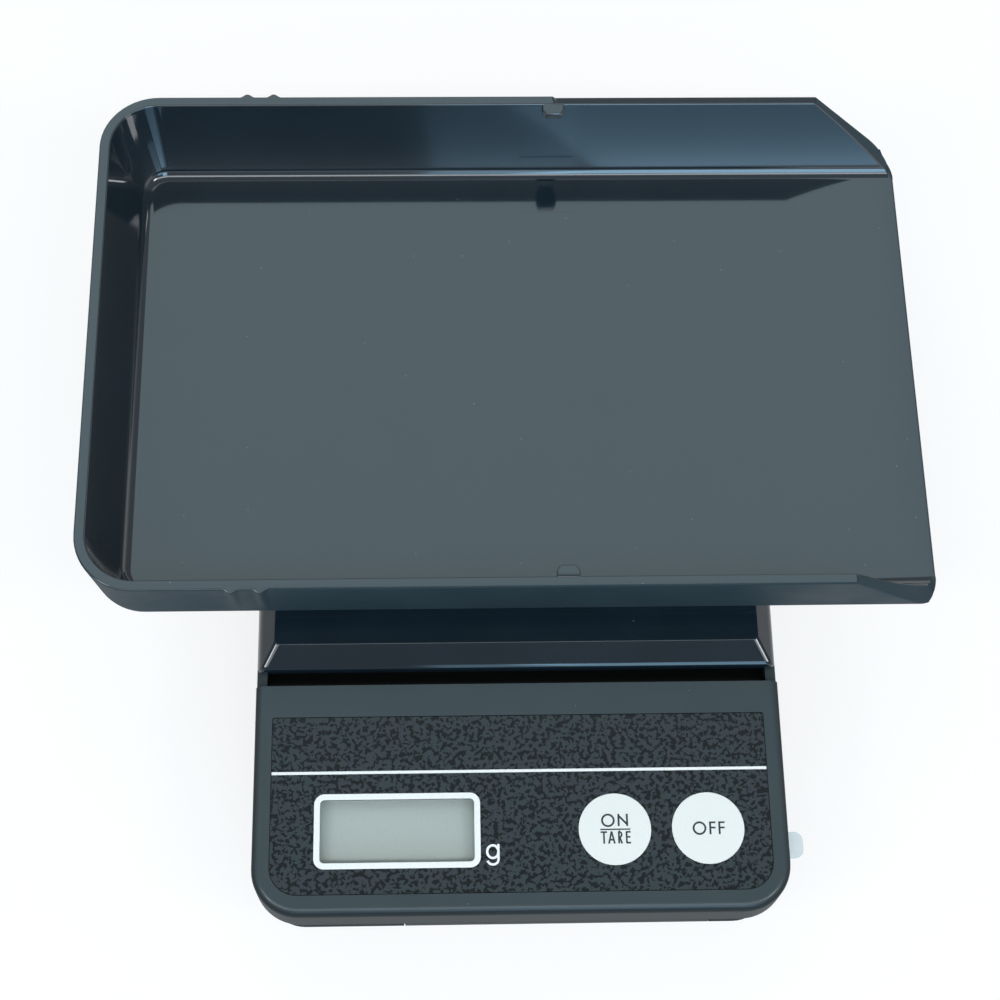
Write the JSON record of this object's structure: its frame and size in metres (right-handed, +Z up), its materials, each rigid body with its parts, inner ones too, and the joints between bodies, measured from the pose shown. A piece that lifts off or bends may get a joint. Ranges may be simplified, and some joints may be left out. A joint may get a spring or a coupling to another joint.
{
  "type": "pocket scale",
  "caption": "Battery-powered pocket scale with a keyed control panel, a sprung weighing platform and a loose open-ended tray that turns over to cover it.",
  "frame": {"origin": "on the table under the middle of the scale and its tray", "axes": "+Z up, +Y from the control panel towards the platform, +X towards the tray's open end"},
  "size_m": [0.1358, 0.1343, 0.0384],
  "materials": {
    "housing_plastic": "moulded ABS, satin gloss",
    "platform_plastic": "moulded ABS, polished",
    "tray_plastic": "moulded ABS, polished",
    "panel_film": "printed polycarbonate film, speckled",
    "print_ink": "white screen print",
    "key_film": "white satin plastic",
    "display_window": "clear acrylic",
    "display_cell": "liquid crystal glass, grey green",
    "silicone_strip": "silicone with conducting layers",
    "board": "glass-fibre board, solder mask",
    "epoxy": "black epoxy",
    "components": "ceramic and resin",
    "switch_plastic": "moulded nylon",
    "battery_jacket": "printed steel can",
    "spring_steel": "nickel-plated spring steel",
    "tab_film": "translucent film",
    "cell_metal": "machined",
    "gauge_film": "foil gauge under silicone",
    "screw_steel": "zinc plated",
    "wire_jacket": "PVC insulation",
    "support_plastic": "glass-filled nylon",
    "foot_rubber": "matt"
  },
  "bodies": {
    "housing": {"upper_housing": "housing_plastic", "lower_housing": "housing_plastic", "panel_overlay": "panel_film", "panel_print": "print_ink", "display_lens": "display_window", "display_glass": "display_cell", "zebra_front": "silicone_strip", "zebra_rear": "silicone_strip", "circuit_board": "board", "processor_blob": "epoxy", "board_parts": "components", "tare_switch": "switch_plastic", "off_switch": "switch_plastic", "battery_front": "battery_jacket", "battery_rear": "battery_jacket", "battery_spring_front": "spring_steel", "battery_spring_rear": "spring_steel", "contact_bridge": "spring_steel", "contact_front": "spring_steel", "contact_rear": "spring_steel", "load_cell": "cell_metal", "strain_gauges": "gauge_film", "cell_spacer_low": "cell_metal", "cell_screws_low": "screw_steel", "overload_screw": "screw_steel", "cell_wires": "wire_jacket", "housing_screws": "screw_steel", "foot_front_left": "foot_rubber", "foot_front_right": "foot_rubber", "foot_rear_left": "foot_rubber", "foot_rear_right": "foot_rubber"},
    "tare_key": {"tare_key": "key_film"},
    "off_key": {"off_key": "key_film"},
    "battery_door": {"battery_door": "housing_plastic"},
    "pull_tab": {"pull_tab": "tab_film"},
    "platform": {"platform": "platform_plastic", "platform_support": "support_plastic", "cell_spacer_top": "cell_metal", "cell_screws_top": "screw_steel"},
    "tray": {"tray": "tray_plastic"}
  },
  "joints": [
    {"name": "platform_deflection", "type": "slide", "parent": "housing", "child": "platform", "axis": [0, 0, -1], "range_m": [0, 0.0003], "stiffness_N_per_m": 20000, "deforming": ["load_cell"]},
    {"name": "tray_lift", "type": "slide", "parent": "platform", "child": "tray", "axis": [0, 0, 1], "range_m": [0, 0.06]},
    {"name": "tare_key_press", "type": "slide", "parent": "housing", "child": "tare_key", "axis": [0, 0, -1], "range_m": [0, 0.0004], "stiffness_N_per_m": 2500},
    {"name": "off_key_press", "type": "slide", "parent": "housing", "child": "off_key", "axis": [0, 0, -1], "range_m": [0, 0.0004], "stiffness_N_per_m": 2500},
    {"name": "battery_door_slide", "type": "slide", "parent": "housing", "child": "battery_door", "axis": [0, -1, 0], "range_m": [0, 0.026]},
    {"name": "pull_tab_draw", "type": "slide", "parent": "housing", "child": "pull_tab", "axis": [1, 0, 0], "range_m": [0, 0.012]}
  ]
}
